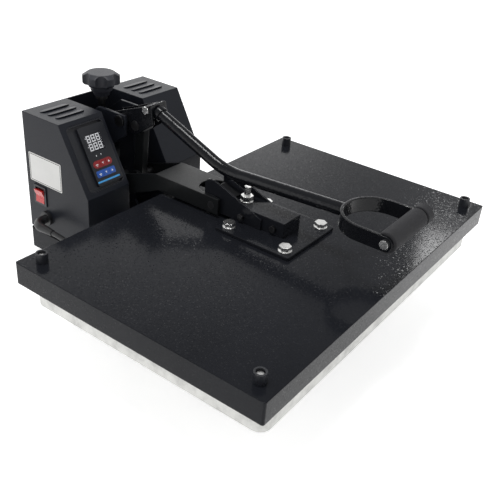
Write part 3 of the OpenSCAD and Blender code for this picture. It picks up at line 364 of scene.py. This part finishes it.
# Flat coil: in on the lower layer, up within half a turn, and out again on the upper layer
TURNS = 4.5
TURN_STEPS = 24
CLIMB_TURNS = 0.5
PITCH = 8.8
LAYER = 8.7
COIL_R = 54.0
coil_x = lead[-1][0] + COIL_R
coil_y = lead[-1][1] - 2 * CORD_R
for i in range(int(TURNS * TURN_STEPS) + 1):
    t = i / TURN_STEPS
    radius = COIL_R - PITCH * min(t, TURNS - t)
    climb = (t - TURNS / 2 + CLIMB_TURNS / 2) / CLIMB_TURNS
    height = FLOOR_Z + LAYER * max(0.0, min(1.0, climb))
    a = math.pi + 2 * math.pi * t
    lead.append((coil_x + radius * math.cos(a), coil_y + radius * math.sin(a), height))

# Straight end that rises to the middle of the plug
PLUG_Z = 18.5
TAIL = [(0, 10, 0), (0.4, 22, 0.6), (0.4, 36, 2.2), (0, 50, 4.2), (0, 62, 5.4), (0, 70, 5.4)]
end = lead[-1]
rise = (PLUG_Z - end[2]) / TAIL[-1][2]
for x, y, z in TAIL:
    lead.append((end[0] + x, end[1] + y, end[2] + z * rise))

lead = [placed(*point) for point in lead]
curve = bpy.data.curves.new("mains_lead", "CURVE")
curve.dimensions = "3D"
curve.bevel_depth = CORD_R * MM
curve.bevel_resolution = 5
curve.use_fill_caps = True
spline = curve.splines.new("POLY")
spline.points.add(len(lead) - 1)
for point, place in zip(spline.points, lead):
    point.co = (*place, 1)
lead_obj = bpy.data.objects.new("mains_lead", curve)
bpy.context.collection.objects.link(lead_obj)
curve.materials.append(M["black_rubber"])
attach(lead_obj, "base")
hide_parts("mains_cord", "cord_coil")

# Strap that ties the coil at its back, a quarter turn from either end, with its loose end lapped on top
TIE_OUT = 43.0
TIE_Z = 9.1
TIE_W, TIE_H, TIE_BEND = 19.6, 18.0, 4.8
TIE_SHEET = 1.1
TIE_HALF = 4.0
LAP_W, LAP_H, LAP_BEND = 9.0, 1.0, 0.45
LAP_X, LAP_UP = 1.5, 9.4
LAP_HALF = 3.8
across_y_z = Matrix(((0, 0, 1), (1, 0, 0), (0, 1, 0))).to_4x4()
place = Matrix.Translation(placed(coil_x, coil_y + TIE_OUT, TIE_Z)) @ across_y_z
loop = [
    outline(TIE_W, TIE_H, TIE_BEND),
    outline(TIE_W - 2 * TIE_SHEET, TIE_H - 2 * TIE_SHEET, TIE_BEND - TIE_SHEET),
]
lap = [shifted(outline(LAP_W, LAP_H, LAP_BEND), LAP_X, LAP_UP)]
bm = bmesh.new()
plate(bm, loop, -TIE_HALF, TIE_HALF, place)
plate(bm, lap, -LAP_HALF, LAP_HALF, place)
coil_tie = piece("coil_tie", bm, "black_rubber")

# Printed control panel, drawn on the left box's sloping front: right, up the slope and out of it

BOX_TOP = 248.0
SLOPE_TOP_Y = 313
SLOPE_RUN, SLOPE_DROP = 58, 104
slope_turn = Matrix.Rotation(math.pi / 2 - math.atan2(SLOPE_RUN, SLOPE_DROP), 4, "X")
SLOPE = Matrix.Translation(placed(0, SLOPE_TOP_Y, BOX_TOP)) @ slope_turn

PANEL_X = -80.0
PANEL_Y = -59.54
ROW = {"red": PANEL_Y - 14, "blue": PANEL_Y - 29}
KEY_PITCH = 12
KEY_X = {"set": PANEL_X - KEY_PITCH, "down": PANEL_X, "up": PANEL_X + KEY_PITCH}
DISPLAY_Y = PANEL_Y + 19.5
KEYPAD_FACE = 1.0
KEY_FACE = 1.6
DISPLAY_FACE = 0.6
FILM = 0.12
INK = 0.06
KEY_HOLE = outline(10.3, 9.3, 2.1)
STRIPS = {"red": outline(37.5, 11.6, 5.6), "blue": outline(37.5, 10.8, 2.5)}
BAR = outline(45, 2.6, 1.0)
BAR_X, BAR_Y = PANEL_X + 0.5, -100

for tone, strip in STRIPS.items():
    loops = [shifted(strip, PANEL_X, ROW[tone])]
    loops += [shifted(KEY_HOLE, x, ROW[tone]) for x in KEY_X.values()]
    sheet(tone + "_strip", loops, KEYPAD_FACE, KEYPAD_FACE + FILM, SLOPE, tone + "_key")


def triangle(size, points_up):
    s = 1 if points_up else -1
    return [(-size, -0.8 * size * s), (size, -0.8 * size * s), (0, 0.9 * size * s)]


# A long bar over a short one on the set keys, and an arrow on the others
KEY_MARKS = {
    "set": [outline(5.2, 1.3, 0.5), shifted(outline(3.0, 1.0, 0.4), 0, -2.0)],
    "down": [triangle(1.9, False)],
    "up": [triangle(1.9, True)],
}
for tone in ROW:
    for kind, marks in KEY_MARKS.items():
        bm = bmesh.new()
        for mark in marks:
            plate(bm, [shifted(mark, KEY_X[kind], ROW[tone])], KEY_FACE, KEY_FACE + INK, SLOPE)
        body = "key_" + tone + "_" + kind
        piece(body + "_mark", bm, "white_print_glow", body)

sheet("panel_bar", [shifted(BAR, BAR_X, BAR_Y)], KEYPAD_FACE, KEYPAD_FACE + FILM, SLOPE, "sky_print_glow")


def dab(bm, shape, x, y, face):
    """Spot of ink on a face of the panel, placed from the middle of the display."""
    plate(bm, [shifted(shape, PANEL_X + x, DISPLAY_Y + y)], face, face + INK, SLOPE)


# Seven-segment digits on the display window, in two rows of three
DIGIT_ROWS = (6.4, -6.4)
DIGIT_COLUMNS = (-9.2, 0.0, 9.2)
SEGMENT_OUT = 2.775
SEGMENT_UP = 4.7
FLAT_SEGMENT = outline(7.2, 1.65, 0.35, 2)
UPRIGHT_SEGMENT = outline(1.65, 2.95, 0.35, 2)
FLAT_PLACES = [(0, 1), (0, -1), (0, 0)]
UPRIGHT_PLACES = [(-1, 0.5), (1, 0.5), (-1, -0.5), (1, -0.5)]
segments = [(FLAT_SEGMENT, place) for place in FLAT_PLACES]
segments += [(UPRIGHT_SEGMENT, place) for place in UPRIGHT_PLACES]
bm = bmesh.new()
for row in DIGIT_ROWS:
    for column in DIGIT_COLUMNS:
        for segment, (x, y) in segments:
            dab(bm, segment, column + x * SEGMENT_OUT, row + y * SEGMENT_UP, DISPLAY_FACE)
piece("display_digits", bm, "white_print_glow")

# Lamps at the display's left edge, unit marks at its right edge and two marks over the keys
LAMP_X, LAMPS_Y = -14.6, (8.5, -5.0)
UNIT_X, UNITS_Y = 14.6, (11.0, 7.4, 3.8, 0.2, -3.4, -10.0)
OVER_KEYS = ((-6.5, -20.6), (3.0, -20.2))
bm = bmesh.new()
for y in LAMPS_Y:
    dab(bm, outline(1.5, 1.5, 0.7), LAMP_X, y, DISPLAY_FACE)
for y in UNITS_Y:
    dab(bm, outline(0.9, 0.9, 0.4), UNIT_X, y, DISPLAY_FACE)
for x, y in OVER_KEYS:
    dab(bm, outline(1.4, 2.2, 0.6), x, y, KEYPAD_FACE)
piece("panel_marks", bm, "white_print_glow")

# Pressed louvres over the cooling slots of both box tops: each hood rises to an open lip at its front

LOUVRE_X = 88.5
LOUVRE_Y = 353.5
LOUVRE_PITCH = 17.5
HOOD_L = 56.0
HOOD_D = 10.5
HOOD_RISE = 1.6
HOOD_SINK = 0.25
RISE_POWER = 0.8
END_POWER = 5
END_SWELL = 0.06
HOOD_SHEET = 0.7


def hood(bm, centre_x, centre_y, across=28, along=6):
    """One closed thin shell, flush at its back and its ends and open at its front."""
    skins = []
    for lift in (-HOOD_SINK, HOOD_SHEET - HOOD_SINK):
        rows = []
        for a in range(across + 1):
            u = 2 * a / across - 1
            swell = max(math.sqrt(1 - abs(u) ** END_POWER), END_SWELL)
            row = []
            for b in range(along + 1):
                v = b / along
                x = centre_x + u * HOOD_L / 2
                y = centre_y + HOOD_D * (0.5 - v) * swell
                z = BOX_TOP + lift + HOOD_RISE * swell * v ** RISE_POWER
                row.append(bm.verts.new(placed(x, y, z)))
            rows.append(row)
        skins.append(rows)
    low, high = skins
    for a in range(across):
        for b in range(along):
            bm.faces.new((high[a][b], high[a][b + 1], high[a + 1][b + 1], high[a + 1][b]))
            bm.faces.new((low[a][b], low[a + 1][b], low[a + 1][b + 1], low[a][b + 1]))
        for b in (0, along):
            bm.faces.new((low[a][b], low[a + 1][b], high[a + 1][b], high[a][b]))
    for b in range(along):
        for a in (0, across):
            bm.faces.new((low[a][b], high[a][b], high[a][b + 1], low[a][b + 1]))


for side, middle in (("left", -LOUVRE_X), ("right", LOUVRE_X)):
    bm = bmesh.new()
    for i in (-1, 0, 1):
        hood(bm, middle, LOUVRE_Y + LOUVRE_PITCH * i)
    piece(side + "_louvres", bm, "dark_paint")

# Painted shadow: a near-black strip all round the base, just under the boxes, where the gap between
# boxes and base lies in shade
SHADE_STRIP_Y = 316.45
SHADE_STRIP_LOW, SHADE_STRIP_HIGH = 44.6, 47.6
SHADE_STRIP_OUTER = outline(263.7, 157.7, 1.2)
SHADE_STRIP_INNER = outline(262.0, 156.0, 0.6)
place = Matrix.Translation(placed(0, SHADE_STRIP_Y, 0))
painted_shade_strip = sheet("base_painted_shade_strip", [SHADE_STRIP_OUTER, SHADE_STRIP_INNER], SHADE_STRIP_LOW, SHADE_STRIP_HIGH, place, "painted_shade_strip")

# Plain plate with a frame line on the outer side of the left box
BOX_SIDE = -131.5
PLATE_Y, PLATE_Z = 350, 160.3
PLATE_T = 0.4
LINE_T = 0.05
PLATE_EDGE = outline(74, 48, 2)
LINE_OUTER = outline(71, 45, 1.6)
LINE_INNER = outline(69.2, 43.2, 1.2)
facing_left = Matrix(((0, 0, -1), (-1, 0, 0), (0, 1, 0))).to_4x4()
place = Matrix.Translation(placed(BOX_SIDE, PLATE_Y, PLATE_Z)) @ facing_left
sheet("side_plate", [PLATE_EDGE], 0.0, PLATE_T, place, "plate")
sheet("side_plate_frame", [LINE_OUTER, LINE_INNER], PLATE_T, PLATE_T + LINE_T, place, "ink")

# Floor and lamps

FLOOR_HALF = 6
FLOOR_GLOW = 0.65


def lamp(name, place, aim, size, watts):
    """Square lamp at a place, turned towards its aim."""
    data = bpy.data.lights.new(name, "AREA")
    data.size = size
    data.energy = watts
    obj = bpy.data.objects.new(name, data)
    bpy.context.collection.objects.link(obj)
    obj.location = place
    obj.rotation_euler = (Vector(aim) - Vector(place)).to_track_quat("-Z", "Y").to_euler()


def calc(tree, operation, first, second):
    """Result of a math node. The first value is linked, and the second is linked or a constant."""
    node = tree.nodes.new("ShaderNodeMath")
    node.operation = operation
    tree.links.new(first, node.inputs[0])
    if isinstance(second, float):
        node.inputs[1].default_value = second
    else:
        tree.links.new(second, node.inputs[1])
    return node.outputs[0]


lamp("top", place=(-0.25, 0.1, 2.1), aim=(0, 0, 0.15), size=0.6, watts=19)
lamp("glint", place=(2.03, 0.28, 1.26), aim=(0.12, -0.3, 0.14), size=0.2, watts=1.4)

corners = [(x * FLOOR_HALF, y * FLOOR_HALF, 0) for x, y in ((-1, -1), (1, -1), (1, 1), (-1, 1))]
floor_mesh = bpy.data.meshes.new("floor")
floor_mesh.from_pydata(corners, [], [(0, 1, 2, 3)])
floor = bpy.data.objects.new("floor", floor_mesh)
bpy.context.collection.objects.link(floor)
ground = Build("floor_white")
ground.to("Base Color", ground.ramp(ground.noise(3.0), [(0.0, (0.86,) * 3), (1.0, (0.88,) * 3)]))
ground.fix("Roughness", 0.8)
rays = ground.add("ShaderNodeLightPath").outputs
mirrored = calc(ground.tree, "MAXIMUM", rays["Is Glossy Ray"], rays["Is Transmission Ray"])
seen = calc(ground.tree, "MAXIMUM", rays["Is Camera Ray"], mirrored)
ground.fix("Emission Color", (1, 1, 1, 1))
ground.to("Emission Strength", calc(ground.tree, "MULTIPLY", seen, FLOOR_GLOW))
floor_mesh.materials.append(ground.mat)

# Room: a pale horizon all round, pale walls at the back, dim above and towards the front

ROOM_LEVEL = 0.4
world = bpy.data.worlds.new("world")
bpy.context.scene.world = world
world.use_nodes = True
sky = world.node_tree
room = sky.nodes["Background"]
room.inputs["Color"].default_value = (1, 1, 1, 1)
way = sky.nodes.new("ShaderNodeTexCoord")
axes = sky.nodes.new("ShaderNodeSeparateXYZ")
sky.links.new(way.outputs["Generated"], axes.inputs["Vector"])


def by_place(axis, low, high, at_low, at_high):
    """Level that passes smoothly from one value to another between two places along an axis."""
    node = sky.nodes.new("ShaderNodeMapRange")
    node.interpolation_type = "SMOOTHSTEP"
    for key, value in (("From Min", low), ("From Max", high), ("To Min", at_low), ("To Max", at_high)):
        node.inputs[key].default_value = value
    sky.links.new(axes.outputs[axis], node.inputs["Value"])
    return node.outputs["Result"]


back_only = by_place("Y", low=0.38, high=0.54, at_low=0.2, at_high=1.0)
walls = calc(sky, "MULTIPLY", by_place("Z", low=0.34, high=0.7, at_low=1.25, at_high=0.0), back_only)
horizon = by_place("Z", low=0.06, high=0.2, at_low=0.6, at_high=0.0)
bright = calc(sky, "MAXIMUM", walls, horizon)
sky.links.new(calc(sky, "ADD", bright, ROOM_LEVEL), room.inputs["Strength"])
bpy.context.scene.view_settings.view_transform = "Standard"
